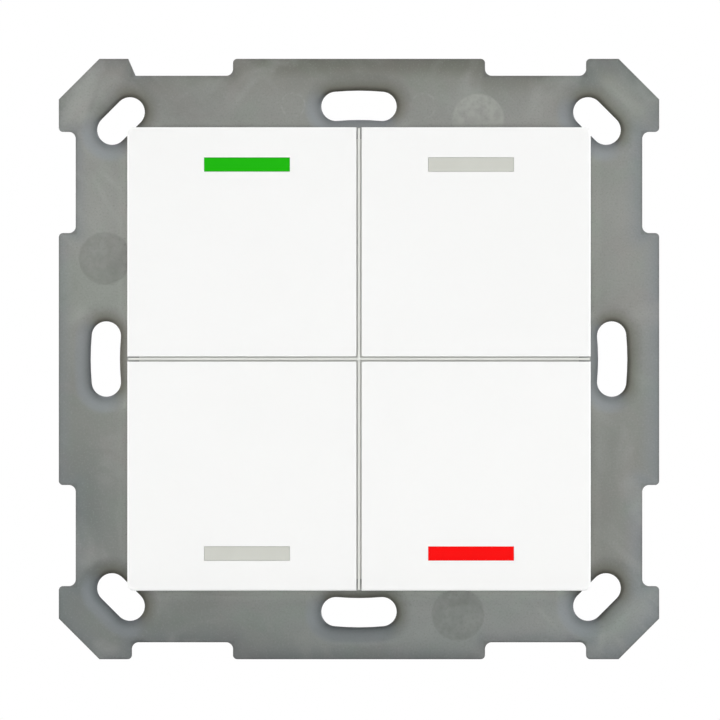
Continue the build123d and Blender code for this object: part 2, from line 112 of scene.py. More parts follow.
# from low to high as the value goes from 0 to 1
def spread(tree, value, low, high):
    node = tree.nodes.new("ShaderNodeMapRange")
    plug(tree, value, node.inputs["Value"])
    plug(tree, low, node.inputs["To Min"])
    plug(tree, high, node.inputs["To Max"])
    return node.outputs["Result"]


def noise(tree, place, scale, detail=2.0, distortion=0.0):
    node = tree.nodes.new("ShaderNodeTexNoise")
    tree.links.new(place, node.inputs["Vector"])
    plug(tree, scale, node.inputs["Scale"])
    node.inputs["Detail"].default_value = detail
    node.inputs["Distortion"].default_value = distortion
    return node.outputs["Fac"]


def mixColour(tree, factor, first, second, blend="MIX"):
    node = tree.nodes.new("ShaderNodeMix")
    node.data_type = "RGBA"
    node.blend_type = blend
    plug(tree, factor, node.inputs["Factor"])
    plug(tree, first, node.inputs[6])
    plug(tree, second, node.inputs[7])
    return node.outputs[2]


def tint(tree, colour, mask, tone, share=1.0):
    return mixColour(tree, times(tree, mask, share), colour, rgba(tone))


def objectPlace(tree):
    return tree.nodes.new("ShaderNodeTexCoord").outputs["Object"]


def millimetres(tree):
    place = objectPlace(tree)
    parts = tree.nodes.new("ShaderNodeSeparateXYZ")
    tree.links.new(place, parts.inputs[0])
    x, y, z = [times(tree, parts.outputs[axis], perMetre) for axis in "XYZ"]
    return place, x, y, z


def newMaterial(name):
    material = bpy.data.materials.new(name)
    material.use_nodes = True
    tree = material.node_tree
    tree.nodes.clear()
    output = tree.nodes.new("ShaderNodeOutputMaterial")
    shader = tree.nodes.new("ShaderNodeBsdfPrincipled")
    tree.links.new(shader.outputs[0], output.inputs["Surface"])
    return material, tree, shader


def addBump(tree, shader, values, height, normal=None):
    bump = tree.nodes.new("ShaderNodeBump")
    bump.inputs["Strength"].default_value = values["bumpStrength"]
    bump.inputs["Distance"].default_value = values["bumpDepth"]
    tree.links.new(height, bump.inputs["Height"])
    if normal is not None:
        tree.links.new(normal, bump.inputs["Normal"])
    tree.links.new(bump.outputs["Normal"], shader.inputs["Normal"])


def dress(material, names):
    for name in names:
        for slot in nodes[name].material_slots:
            slot.material = material


# camera and lamps, in metres

cameraSet = {
    "viewWidth": 0.085146,      # across the square picture
    "aim": (0.000118, -0.000118),
    "distance": 0.6,
    "clip": (0.01, 20.0),
}
lampSet = {
    "frontLamp": {
        "at": (0.0, -1.3, 0.01), "size": 0.18, "watts": 11.0,
        "colour": (1.0, 0.997, 0.99), "mirrored": False,
    },
    "leftPanel": {
        "at": (-0.95, 0.15, 0.3), "size": 0.6, "watts": 4.2,
        "colour": (1.0, 0.99, 0.98), "mirrored": True,
    },
    "rightPanel": {
        "at": (0.95, 0.15, 0.3), "size": 0.6, "watts": 4.8,
        "colour": (0.98, 0.99, 1.0), "mirrored": True,
    },
    "topPanel": {
        "at": (0.0, 0.12, 1.0), "size": 0.8, "watts": 5.5,
        "colour": (0.98, 0.99, 1.0), "mirrored": True,
    },
    "rearPanel": {
        "at": (0.3, 1.0, 0.35), "size": 0.7, "watts": 5.0,
        "colour": (1.0, 0.99, 0.98), "mirrored": False,
    },
}


def addCamera(values):
    lens = bpy.data.cameras.new("frontCamera")
    lens.type = "ORTHO"
    lens.ortho_scale = values["viewWidth"]
    lens.clip_start, lens.clip_end = values["clip"]
    camera = bpy.data.objects.new("frontCamera", lens)
    camera.location = (values["aim"][0], -values["distance"], values["aim"][1])
    camera.rotation_euler = (math.radians(90), 0, 0)
    bpy.context.scene.collection.objects.link(camera)
    bpy.context.scene.camera = camera


def addLamp(name, values):
    lamp = bpy.data.lights.new(name, "AREA")
    lamp.shape = "DISK"
    lamp.size = values["size"]
    lamp.energy = values["watts"]
    lamp.color = values["colour"]
    holder = bpy.data.objects.new(name, lamp)
    holder.location = values["at"]
    holder.rotation_euler = Vector(values["at"]).to_track_quat("Z", "Y").to_euler()
    holder.visible_glossy = values["mirrored"]
    bpy.context.scene.collection.objects.link(holder)


addCamera(cameraSet)
for lampName, lampValues in lampSet.items():
    addLamp(lampName, lampValues)
print("camera and lamps placed")


# white surroundings for what the camera and reflections see, softer light for the rest

worldSet = {"ambient": (0.15, 0.151, 0.153), "white": (1.0, 1.0, 1.0), "whiteStrength": 1.0}


def makeWorld(values):
    world = bpy.data.worlds.new("whiteStudio")
    bpy.context.scene.world = world
    world.use_nodes = True
    tree = world.node_tree
    tree.nodes.clear()
    output = tree.nodes.new("ShaderNodeOutputWorld")
    ambient = tree.nodes.new("ShaderNodeBackground")
    ambient.inputs["Color"].default_value = rgba(values["ambient"])
    white = tree.nodes.new("ShaderNodeBackground")
    white.inputs["Color"].default_value = rgba(values["white"])
    white.inputs["Strength"].default_value = values["whiteStrength"]
    path = tree.nodes.new("ShaderNodeLightPath")
    seen = calc(tree, "MAXIMUM", path.outputs["Is Camera Ray"], path.outputs["Is Glossy Ray"])
    seen = calc(tree, "MAXIMUM", seen, path.outputs["Is Transmission Ray"])
    mix = tree.nodes.new("ShaderNodeMixShader")
    tree.links.new(seen, mix.inputs["Fac"])
    tree.links.new(ambient.outputs[0], mix.inputs[1])
    tree.links.new(white.outputs[0], mix.inputs[2])
    tree.links.new(mix.outputs[0], output.inputs["Surface"])


# pale paper floor under the lowest point of the part

floorSet = {
    "halfWidth": 1.5,           # metres
    "colour": (0.86, 0.86, 0.855),
    "fibre": {"scale": 900.0, "detail": 3.0},
    "fibreShade": 0.97,
    "roughness": 0.6,
}


def makeFloor(values):
    half = values["halfWidth"]
    level = cadBox[0][2]
    mesh = bpy.data.meshes.new("studioFloor")
    mesh.from_pydata(
        [(-half, -half, level), (half, -half, level), (half, half, level), (-half, half, level)],
        [],
        [(0, 1, 2, 3)],
    )
    floor = bpy.data.objects.new("studioFloor", mesh)
    bpy.context.scene.collection.objects.link(floor)
    material, tree, shader = newMaterial("studioPaper")
    fibre = noise(tree, objectPlace(tree), **values["fibre"])
    darker = dimmed(values["colour"], values["fibreShade"])
    paper = mixColour(tree, fibre, rgba(values["colour"]), darker)
    tree.links.new(paper, shader.inputs["Base Color"])
    shader.inputs["Roughness"].default_value = values["roughness"]
    mesh.materials.append(material)


makeWorld(worldSet)
makeFloor(floorSet)


# skin of moulded plastic: slow colour drift, a fine grain and uneven gloss

skinSet = {
    "driftNoise": {"detail": 3.0, "distortion": 0.6},
    "driftLimits": (0.3, 0.7),
    "driftShare": 0.5,
    "speckLimits": (0.42, 0.75),
    "glossFromDrift": 0.4,
    "glossFromGrain": 0.6,
}


def makeMouldedSkin(values):
    group, given, result = newGroup(
        "mouldedSkin",
        [
            ("Color", "NodeSocketColor", (0.8, 0.8, 0.8, 1.0)),
            ("Shade", "NodeSocketColor", (0.7, 0.7, 0.7, 1.0)),
            ("Drift Scale", "NodeSocketFloat", 60.0),
            ("Grain Scale", "NodeSocketFloat", 7000.0),
            ("Speckle", "NodeSocketFloat", 0.3),
            ("Gloss Low", "NodeSocketFloat", 0.3),
            ("Gloss High", "NodeSocketFloat", 0.45),
        ],
        [
            ("Color", "NodeSocketColor"),
            ("Roughness", "NodeSocketFloat"),
            ("Height", "NodeSocketFloat"),
        ],
    )
    place = objectPlace(group)
    drift = noise(group, place, given.outputs["Drift Scale"], **values["driftNoise"])
    drift = ramp(group, drift, values["driftLimits"])
    grain = noise(group, place, given.outputs["Grain Scale"])
    specks = times(group, ramp(group, grain, values["speckLimits"]), given.outputs["Speckle"])
    shade = calc(group, "MAXIMUM", times(group, drift, values["driftShare"]), specks)
    colour = mixColour(group, shade, given.outputs["Color"], given.outputs["Shade"])
    group.links.new(colour, result.inputs["Color"])
    gloss = times(group, drift, values["glossFromDrift"])
    gloss = plus(group, gloss, times(group, grain, values["glossFromGrain"]))
    rough = spread(group, gloss, given.outputs["Gloss Low"], given.outputs["Gloss High"])
    group.links.new(rough, result.inputs["Roughness"])
    group.links.new(grain, result.inputs["Height"])
    return group


# rounded edges: the softened normal, and where it turns away from the true surface

edgeSet = {"samples": 8, "turned": (0.0, 0.28)}


def makeEdgeRoll(values):
    group, given, result = newGroup(
        "edgeRoll",
        [("Radius", "NodeSocketFloat", 0.0002)],
        [("Normal", "NodeSocketVector"), ("Edge", "NodeSocketFloat")],
    )
    roll = group.nodes.new("ShaderNodeBevel")
    roll.samples = values["samples"]
    group.links.new(given.outputs["Radius"], roll.inputs["Radius"])
    true = group.nodes.new("ShaderNodeNewGeometry")
    turn = group.nodes.new("ShaderNodeVectorMath")
    turn.operation = "DOT_PRODUCT"
    group.links.new(roll.outputs["Normal"], turn.inputs[0])
    group.links.new(true.outputs["Normal"], turn.inputs[1])
    away = minus(group, 1.0, turn.outputs["Value"])
    group.links.new(roll.outputs["Normal"], result.inputs["Normal"])
    group.links.new(ramp(group, away, values["turned"]), result.inputs["Edge"])
    return group


mouldedSkin = makeMouldedSkin(skinSet)
edgeRoll = makeEdgeRoll(edgeSet)
print("studio and shared finishes ready")


def mouldedPlastic(name, values):
    material, tree, shader = newMaterial(name)
    skin = placeGroup(tree, mouldedSkin, values["skin"])
    edge = placeGroup(tree, edgeRoll, {"Radius": values["edgeRadius"]})
    # painted highlight and shade at the rounded edges: the edge tone is paler than the skin on most plastics
    # and darker on the light bars
    paintedEdgeHighlightAndShade = times(tree, edge.outputs["Edge"], values["edgeShare"])
    colour = mixColour(tree, paintedEdgeHighlightAndShade, skin.outputs["Color"], rgba(values["edgeTone"]))
    tree.links.new(colour, shader.inputs["Base Color"])
    tree.links.new(skin.outputs["Roughness"], shader.inputs["Roughness"])
    addBump(tree, shader, values, skin.outputs["Height"], edge.outputs["Normal"])
    return material, tree, shader, skin, paintedEdgeHighlightAndShade


# support plate: cloudy zinc casting, with painted shade and reflection where it dips towards the screw slots
# and along its edges, and painted light beside the square

plateSet = {                    # places and lengths on the plate are in millimetres
    # painted reflection and shade: a paler upper tone and a duller lower tone
    "lower": (0.234, 0.242, 0.223),
    "upper": (0.288, 0.296, 0.277),
    "fromLowerToUpper": (-14.0, 20.0),
    "pale": (0.365, 0.375, 0.356),
    "dark": (0.188, 0.195, 0.182),
    "frontSkin": (-0.15, -0.6), # marks are on the front only
    "facingFront": (-0.2, -0.6),
    "outline": {"half": 35.5, "cornerCut": 4.8, "notchRoot": 33.5, "tabEnd": 14.9, "earStart": 26.85},
    "arcSlot": {"radius": 30.0, "halfAngle": 0.0908, "halfWidth": 1.725},
    "cornerSlot": {"reach": 39.8, "halfLength": 1.5, "halfWidth": 1.75},
    # edges are softer in the dips and hardly rounded on the marks, radii in metres
    "rounding": {
        "edgeRadius": 0.00018, "dipRadius": 0.001, "dipReach": (3.2, 2.0),
        "markMargin": (0.6, 0.3), "onMarks": 0.05,
    },
    # broad changes of tone, each from where it starts to where it is full; all are painted reflection and
    # shade: painted light at the foot and inside the low corner, painted shade towards the lower left, the
    # left side and the edges, a warm painted reflection along the top and a cool one along the sides and the
    # foot
    "bands": {
        # painted light: paler at the foot, where the floor shades the plate
        "foot": {"tone": (0.284, 0.304, 0.291), "share": 1.0, "z": (-24.0, -29.5)},
        "dullCorner": {"tone": (0.188, 0.203, 0.191), "share": 0.9, "slant": (20.0, 40.0)},
        "lowTab": {"tone": (0.204, 0.220, 0.218), "share": 0.3, "z": (-32.6, -35.0), "x": (15.0, 6.0)},
        "topSide": {"tone": (0.158, 0.157, 0.130), "share": 0.5, "z": (28.0, 36.0), "x": (-34.0, -20.0)},
        "leftSide": {"tone": (0.188, 0.203, 0.191), "share": 0.2, "x": (-32.0, -35.0), "z": (13.0, 3.0)},
        "topTab": {"tone": (0.130, 0.128, 0.105), "share": 0.6, "z": (32.8, 35.4), "x": (-22.0, -16.0)},
        # painted light: paler inside the low corner towards the square
        "insideLow": {
            "tone": (0.365, 0.375, 0.350), "share": 0.2, "far": (32.5, 28.5), "slant": (-2.0, 14.0),
        },
        "rightCool": {"tone": (0.240, 0.264, 0.283), "share": 0.6, "depth": (2.8, 0.2), "x": (20.0, 28.0)},
        "leftCool": {"tone": (0.240, 0.262, 0.275), "share": 0.4, "depth": (2.0, 0.2), "x": (-20.0, -28.0)},
        "lowCool": {"tone": (0.215, 0.235, 0.243), "share": 0.3, "depth": (2.6, 0.2), "z": (-26.0, -31.0)},
        "leftLow": {"tone": (0.140, 0.156, 0.158), "share": 0.42, "x": (-27.0, -33.5), "z": (-8.0, -18.0)},
        # painted shade: darker towards the edges and at the brim
        "sideFade": {"tone": (0.130, 0.142, 0.150), "share": 0.22, "depth": (1.4, 0.0)},
        "topFade": {"tone": (0.130, 0.128, 0.105), "share": 0.36, "depth": (2.8, 0.0), "z": (26.0, 31.0)},
        "lowFade": {"tone": (0.120, 0.130, 0.132), "share": 0.14, "depth": (1.6, 0.0), "z": (-27.0, -31.0)},
        "brim": {"tone": (0.090, 0.095, 0.095), "share": 0.32, "depth": (0.28, 0.06)},
    },
    # painted light where the square stands on the plate: a lift in tone over the square's contact shade
    "lightBesideSquare": {
        "tone": (1.62, 1.62, 1.60),
        "closeBy": {"far": (28.0, 27.7), "share": 0.45},
        "around": {"far": (29.0, 27.5), "share": 0.55},
        "top": 0.30, "middle": 0.70, "bottom": 1.0,
        "topEnds": (27.6, 25.4), "bottomStarts": (-25.0, -28.0),
        "offCornerSlot": (0.3, 2.2),
    },
    "clouds": {
        "noise": {"scale": 90.0, "detail": 3.0, "distortion": 1.4},
        "pale": {"limits": (0.50, 0.75), "share": 0.45},
        "dark": {"limits": (0.50, 0.25), "share": 0.30},
    },
    "casts": {
        "noise": {"scale": 170.0, "detail": 2.0, "distortion": 0.8},
        "green": {"limits": (0.48, 0.68), "tone": (0.975, 1.012, 0.985)},
        "rose": {"limits": (0.48, 0.30), "tone": (1.018, 0.990, 0.998)},
    },
    # slanted streaks, stronger at two corners
    "streaks": {
        "noise": {"scale": 0.42, "detail": 2.0, "distortion": 0.7},
        "stretch": 0.22,
        "limits": (0.48, 0.75),
        "topLeft": (29.0, 41.0), "bottomRight": (-33.0, -42.0),
        "shares": (0.07, 0.30),
    },
    # single flow marks, long and wide in millimetres and turned in degrees
    "flows": [
        {"at": (-34.2, 29.2), "long": 3.2, "wide": 1.1, "turn": 55, "tone": "pale", "share": 0.45},
        {"at": (-31.8, 33.4), "long": 3.4, "wide": 1.2, "turn": 50, "tone": "pale", "share": 0.50},
        {"at": (-31.4, 30.6), "long": 3.0, "wide": 0.5, "turn": 70, "tone": "dark", "share": 0.40},
        {"at": (-34.6, 31.0), "long": 1.6, "wide": 0.5, "turn": 20, "tone": "dark", "share": 0.30},
        {"at": (-29.0, 20.8), "long": 3.2, "wide": 0.5, "turn": -40, "tone": "pale", "share": 0.40},
        {"at": (-30.4, 19.6), "long": 4.2, "wide": 0.45, "turn": -62, "tone": "pale", "share": 0.25},
        {"at": (-28.4, 16.6), "long": 2.6, "wide": 0.9, "turn": -60, "tone": "pale", "share": 0.25},
        {"at": (20.5, 28.6), "long": 6.0, "wide": 2.2, "turn": 0, "tone": "pale", "share": 0.24},
        {"at": (18.5, -28.9), "long": 2.6, "wide": 1.1, "turn": -30, "tone": "pale", "share": 0.22},
        {"at": (22.0, -30.4), "long": 3.0, "wide": 0.45, "turn": -48, "tone": "pale", "share": 0.38},
        {"at": (28.7, -33.0), "long": 2.6, "wide": 0.7, "turn": 85, "tone": "pale", "share": 0.35},
        {"at": (-20.5, 30.5), "long": 8.0, "wide": 4.5, "turn": 0, "tone": "dark", "share": 0.45},
        {"at": (-33.0, 31.4), "long": 4.0, "wide": 2.4, "turn": 45, "tone": "pale", "share": 0.50},
        {"at": (-32.3, 28.7), "long": 2.6, "wide": 1.2, "turn": 15, "tone": "pale", "share": 0.45},
        {"at": (32.7, -15.9), "long": 2.6, "wide": 1.8, "turn": 0, "tone": "dark", "share": 0.35},
        {"at": (-31.6, -31.6), "long": 6.0, "wide": 3.4, "turn": -45, "tone": "pale", "share": 0.15},
        {"at": (-31.0, 13.4), "long": 2.8, "wide": 1.6, "turn": 60, "tone": "pale", "share": 0.34},
        {"at": (-29.0, 10.6), "long": 3.0, "wide": 1.2, "turn": 65, "tone": "dark", "share": 0.34},
        {"at": (13.3, -31.2), "long": 2.2, "wide": 1.6, "turn": 45, "tone": "pale", "share": 0.34},
        {"at": (12.2, -28.7), "long": 2.4, "wide": 0.9, "turn": 12, "tone": "dark", "share": 0.45},
        {"at": (27.9, -10.2), "long": 7.0, "wide": 2.4, "turn": 90, "tone": "pale", "share": 0.30},
        {"at": (30.2, -10.2), "long": 6.0, "wide": 1.4, "turn": 90, "tone": "dark", "share": 0.15},
    ],
    "flowEdge": {"ragged": 0.5, "limits": (1.3, 0.25)},
    # faint broken rings left by small pins
    "rings": [
        {"at": (-7.8, 30.05), "radius": 1.38, "share": 0.40},
        {"at": (7.6, 29.95), "radius": 1.45, "share": 0.28},
    ],
    "ringEdge": {"line": (0.20, 0.04), "broken": (0.40, 0.62)},
    "grain": {
        "noise": {"scale": 4600.0},
        "pale": {"limits": (0.50, 0.80), "share": 0.26},
        "dark": {"limits": (0.50, 0.20), "share": 0.40},
    },
    # round ejector marks with a mottled face and a ragged outline
    "mottle": {"scale": 1300.0, "detail": 3.0},
    "markRadius": 3.1,
    "markEdge": {"ragged": 0.4, "width": 0.35, "mottled": (0.3, 0.7)},
    "marks": {
        "top": {"at": (14.1, 28.3), "tone": (0.410, 0.418, 0.388), "share": 0.70, "haze": 0.72},
        "left": {"at": (-30.0, 11.9), "tone": (0.175, 0.182, 0.166), "share": 0.47, "haze": 0.4},
        "bottom": {"at": (11.7, -30.2), "tone": (0.170, 0.182, 0.166), "share": 0.48, "haze": 0.45},
    },
    # painted shade and reflection in the dips: warm on one side and cool on the other as the surface leans,
    # and darkest at the slot
    "dipShadeAndReflection": {
        "warm": (0.112, 0.104, 0.074),
        "cool": (0.150, 0.168, 0.190),
        "fromWarmToCool": (-0.2, 0.25),
        "limits": (2.2, -0.6),
        "power": 1.2,
        "shares": (0.25, 0.9),  # at the back and on the front
    },
    # painted highlight: a cool sheen round the dips
    "ledGlowAndPaintedHighlight": {
        "tone": (0.300, 0.330, 0.356), "share": 0.58,
        "rise": (0.2, 1.3), "fall": (3.4, 0.9), "leaning": (0.0, 0.45),
    },
    # painted shade along the slot edges
    "brink": {
        "tone": (0.045, 0.042, 0.032), "share": 0.7,
        "limits": (0.7, -0.2), "leaning": (0.45, -0.1),
        "clearNear": (12.0, 8.0), "clearFar": (29.6, 28.2),
    },
    "edgeShare": 0.25,
    "metallic": 0.5,
    "gloss": (0.36, 0.52),
    "glossFromClouds": 0.5,
    "glossFromGrain": 0.5,
    "bumpStrength": 0.22,
    "bumpDepth": 0.00002,
    "bumpFromStreaks": 1.5,
}


def plateMeasures(tree, values):
    place, x, y, z = millimetres(tree)
    across = calc(tree, "ABSOLUTE", x)
    up = calc(tree, "ABSOLUTE", z)
    far = calc(tree, "MAXIMUM", across, up)
    near = calc(tree, "MINIMUM", across, up)

    # distance from the nearest screw slot, worked out in one folded eighth of the plate
    arc = values["arcSlot"]
    beyond = minus(tree, calc(tree, "ARCTAN2", near, far), arc["halfAngle"])
    beyond = times(tree, calc(tree, "MAXIMUM", beyond, 0.0), arc["radius"])
    fromArc = length(tree, minus(tree, length(tree, far, near), arc["radius"]), beyond)
    fromArc = minus(tree, fromArc, arc["halfWidth"])
    slot = values["cornerSlot"]
    along = times(tree, plus(tree, across, up), diagonal)
    aside = minus(tree, times(tree, minus(tree, far, near), diagonal), slot["halfLength"])
    aside = calc(tree, "MAXIMUM", aside, 0.0)
    fromCorner = length(tree, minus(tree, along, slot["reach"]), aside)
    fromCorner = minus(tree, fromCorner, slot["halfWidth"])

    # depth inside the outline, in the same eighth
    outline = values["outline"]
    toSide = minus(tree, outline["half"], far)
    toCut = minus(tree, 2 * outline["half"] - outline["cornerCut"], plus(tree, far, near))
    toRoot = calc(tree, "MAXIMUM", minus(tree, outline["notchRoot"], far), 0.0)
    toTab = minus(tree, outline["tabEnd"], near)
    toEar = minus(tree, near, outline["earStart"])
    toFlank = calc(tree, "MAXIMUM", calc(tree, "MAXIMUM", toTab, toEar), 0.0)
    depth = calc(tree, "MINIMUM", toSide, length(tree, toRoot, toFlank))
    depth = calc(tree, "MINIMUM", depth, times(tree, toCut, diagonal))
    return {
        "place": place,
        "x": x,
        "z": z,
        "far": far,
        "near": near,
        "slant": times(tree, plus(tree, x, z), -diagonal),
        "rise": times(tree, minus(tree, z, x), diagonal),
        "fromCorner": fromCorner,
        "fromSlot": calc(tree, "MINIMUM", fromArc, fromCorner),
        "depth": depth,
        "front": ramp(tree, y, values["frontSkin"]),
    }


def awayFrom(tree, spot, at):
    return length(tree, minus(tree, spot["x"], at[0]), minus(tree, spot["z"], at[1]))


def plateEdges(tree, values, spot, marksAway):
    rounding = values["rounding"]
    clear = [values["markRadius"] + margin for margin in rounding["markMargin"]]
    marked = 0.0
    for away in marksAway.values():
        marked = calc(tree, "MAXIMUM", marked, ramp(tree, away, clear))
    dipped = ramp(tree, spot["fromSlot"], rounding["dipReach"])
    radius = spread(tree, dipped, rounding["edgeRadius"], rounding["dipRadius"])
    radius = times(tree, radius, spread(tree, marked, 1.0, rounding["onMarks"]))
    edge = placeGroup(tree, edgeRoll, {})
    tree.links.new(radius, edge.inputs["Radius"])
    return edge


def paintLightAndShadeBands(tree, colour, bands, spot, facing):
    for band in bands.values():
        mask = facing if "depth" in band else 1.0
        for key in ("x", "z", "slant", "far", "depth"):
            if key in band:
                mask = times(tree, mask, ramp(tree, spot[key], band[key]))
        colour = tint(tree, colour, mask, band["tone"], band["share"])
    return colour


def paintLightBesideSquare(tree, colour, lightBesideSquare, spot):
    layers = [
        times(tree, ramp(tree, spot["far"], lightBesideSquare[key]["far"]), lightBesideSquare[key]["share"])
        for key in ("closeBy", "around")
    ]
    strength = spread(tree, ramp(tree, spot["z"], lightBesideSquare["topEnds"]), lightBesideSquare["top"], lightBesideSquare["middle"])
    strength = spread(tree, ramp(tree, spot["z"], lightBesideSquare["bottomStarts"]), strength, lightBesideSquare["bottom"])
    mask = times(tree, plus(tree, *layers), spot["front"], strength)
    mask = times(tree, mask, ramp(tree, spot["fromCorner"], lightBesideSquare["offCornerSlot"]))
    return mixColour(tree, mask, colour, rgba(lightBesideSquare["tone"]), "MULTIPLY")


def paleAndDark(tree, colour, pattern, values, name):
    for tone in ("pale", "dark"):
        part = values[name][tone]
        colour = tint(tree, colour, ramp(tree, pattern, part["limits"]), values[tone], part["share"])
    return colour


def plateFlows(tree, colour, values, spot, mottle):
    edge = values["flowEdge"]
    for flow in values["flows"]:
        turn = math.radians(flow["turn"])
        right = minus(tree, spot["x"], flow["at"][0])
        up = minus(tree, spot["z"], flow["at"][1])
        ahead = plus(tree, times(tree, right, math.cos(turn)), times(tree, up, math.sin(turn)))
        aside = minus(tree, times(tree, up, math.cos(turn)), times(tree, right, math.sin(turn)))
        ahead = calc(tree, "DIVIDE", ahead, flow["long"])
        aside = calc(tree, "DIVIDE", aside, flow["wide"])
        reach = plus(tree, length(tree, ahead, aside), times(tree, mottle, edge["ragged"]))
        mask = times(tree, ramp(tree, reach, edge["limits"]), spot["front"])
        colour = tint(tree, colour, mask, values[flow["tone"]], flow["share"])
    return colour


def plateRings(tree, colour, values, spot, mottle):
    edge = values["ringEdge"]
    for ring in values["rings"]:
        line = minus(tree, awayFrom(tree, spot, ring["at"]), ring["radius"])
        line = ramp(tree, calc(tree, "ABSOLUTE", line), edge["line"])
        mask = times(tree, line, ramp(tree, mottle, edge["broken"]), spot["front"])
        colour = tint(tree, colour, mask, values["pale"], ring["share"])
    return colour


def plateMarks(tree, colour, values, spot, marksAway, mottle):
    edge = values["markEdge"]
    limits = (values["markRadius"] + edge["width"], values["markRadius"])
    for key, mark in values["marks"].items():
        ragged = plus(tree, marksAway[key], times(tree, mottle, edge["ragged"]))
        haze = spread(tree, ramp(tree, mottle, edge["mottled"]), 1.0 - mark["haze"], 1.0)
        mask = times(tree, ramp(tree, ragged, limits), spot["front"], haze)
        colour = tint(tree, colour, mask, mark["tone"], mark["share"])
    return colour


def paintDipShadeAndReflection(tree, colour, values, spot, leaning):
    fromSlot = spot["fromSlot"]
    dipShadeAndReflection = values["dipShadeAndReflection"]
    toCool = ramp(tree, leaning, dipShadeAndReflection["fromWarmToCool"])
    slope = mixColour(tree, toCool, rgba(dipShadeAndReflection["warm"]), rgba(dipShadeAndReflection["cool"]))
    mask = calc(tree, "POWER", ramp(tree, fromSlot, dipShadeAndReflection["limits"]), dipShadeAndReflection["power"])
    mask = times(tree, mask, spread(tree, spot["front"], *dipShadeAndReflection["shares"]))
    colour = mixColour(tree, mask, colour, slope)

    # painted highlight: a cool sheen round the dip
    ledGlowAndPaintedHighlight = values["ledGlowAndPaintedHighlight"]
    mask = times(tree, ramp(tree, fromSlot, ledGlowAndPaintedHighlight["rise"]), ramp(tree, fromSlot, ledGlowAndPaintedHighlight["fall"]))
    mask = times(tree, mask, spot["front"], ramp(tree, leaning, ledGlowAndPaintedHighlight["leaning"]))
    colour = tint(tree, colour, mask, ledGlowAndPaintedHighlight["tone"], ledGlowAndPaintedHighlight["share"])

    # painted shade: a dark line at the slot, apart from the strip beside the square
    brink = values["brink"]
    mask = times(tree, ramp(tree, fromSlot, brink["limits"]), ramp(tree, leaning, brink["leaning"]))
    strip = ramp(tree, spot["near"], brink["clearNear"])
    strip = times(tree, strip, ramp(tree, spot["far"], brink["clearFar"]))
    mask = times(tree, mask, minus(tree, 1.0, strip))
    return tint(tree, colour, mask, brink["tone"], brink["share"])


def zincCasting(name, values):
    material, tree, shader = newMaterial(name)
    spot = plateMeasures(tree, values)
    marksAway = {key: awayFrom(tree, spot, mark["at"]) for key, mark in values["marks"].items()}
    edge = plateEdges(tree, values, spot, marksAway)
    lean = tree.nodes.new("ShaderNodeSeparateXYZ")
    tree.links.new(edge.outputs["Normal"], lean.inputs[0])
    leaning = plus(tree, lean.outputs["X"], lean.outputs["Z"])
    facing = ramp(tree, lean.outputs["Y"], values["facingFront"])

    # patterns of the casting
    clouds = noise(tree, spot["place"], **values["clouds"]["noise"])
    cast = noise(tree, spot["place"], **values["casts"]["noise"])
    grain = noise(tree, spot["place"], **values["grain"]["noise"])
    mottle = noise(tree, spot["place"], **values["mottle"])
    streaks = values["streaks"]
    drawn = tree.nodes.new("ShaderNodeCombineXYZ")
    tree.links.new(times(tree, spot["rise"], streaks["stretch"]), drawn.inputs["X"])
    tree.links.new(spot["slant"], drawn.inputs["Y"])
    drawn = noise(tree, drawn.outputs[0], **streaks["noise"])
    gates = [ramp(tree, spot["rise"], streaks[key]) for key in ("topLeft", "bottomRight")]
    gates = spread(tree, calc(tree, "MAXIMUM", *gates), *streaks["shares"])

    # painted reflection and shade: the plate runs from pale at the top to dull at one lower corner, and falls
    # off towards its edges
    rising = ramp(tree, spot["z"], values["fromLowerToUpper"])
    colour = mixColour(tree, rising, rgba(values["lower"]), rgba(values["upper"]))
    colour = paintLightAndShadeBands(tree, colour, values["bands"], spot, facing)
    colour = paintLightBesideSquare(tree, colour, values["lightBesideSquare"], spot)
    colour = paleAndDark(tree, colour, clouds, values, "clouds")
    for key in ("green", "rose"):
        shift = values["casts"][key]
        colour = mixColour(tree, ramp(tree, cast, shift["limits"]), colour, rgba(shift["tone"]), "MULTIPLY")
    colour = tint(tree, colour, times(tree, ramp(tree, drawn, streaks["limits"]), gates), values["pale"])
    colour = plateFlows(tree, colour, values, spot, mottle)
    colour = plateRings(tree, colour, values, spot, mottle)
    colour = paleAndDark(tree, colour, grain, values, "grain")
    colour = plateMarks(tree, colour, values, spot, marksAway, mottle)
    colour = paintDipShadeAndReflection(tree, colour, values, spot, leaning)
    # painted shade where the rounded edges turn away
    colour = tint(tree, colour, edge.outputs["Edge"], values["dark"], values["edgeShare"])
    tree.links.new(colour, shader.inputs["Base Color"])

    gloss = times(tree, clouds, values["glossFromClouds"])
    gloss = plus(tree, gloss, times(tree, grain, values["glossFromGrain"]))
    tree.links.new(spread(tree, gloss, *values["gloss"]), shader.inputs["Roughness"])
    shader.inputs["Metallic"].default_value = values["metallic"]
    height = plus(tree, grain, times(tree, drawn, values["bumpFromStreaks"]))
    addBump(tree, shader, values, height, edge.outputs["Normal"])
    return material


dress(zincCasting("plateZinc", plateSet), ["mounting_plate"])
print("support plate finished")


# buttons: white satin plastic

buttonSet = {
    "skin": {
        "Color": (0.918, 0.920, 0.914, 1.0),
        "Shade": (0.900, 0.903, 0.895, 1.0),
        "Drift Scale": 45.0,
        "Grain Scale": 7500.0,
        "Speckle": 0.25,
        "Gloss Low": 0.30,
        "Gloss High": 0.42,
    },
    "edgeRadius": 0.00012,
    "edgeTone": (0.920, 0.922, 0.916),
    "edgeShare": 0.6,
    "bumpStrength": 0.12,
    "bumpDepth": 0.00001,
}
dress(mouldedPlastic("buttonWhite", buttonSet)[0], ["button_" + corner for corner in corners])


# light bars: coloured guides that glow when lit, milky when dark, all a little dimmer at the edge, where
# their colour carries painted shade

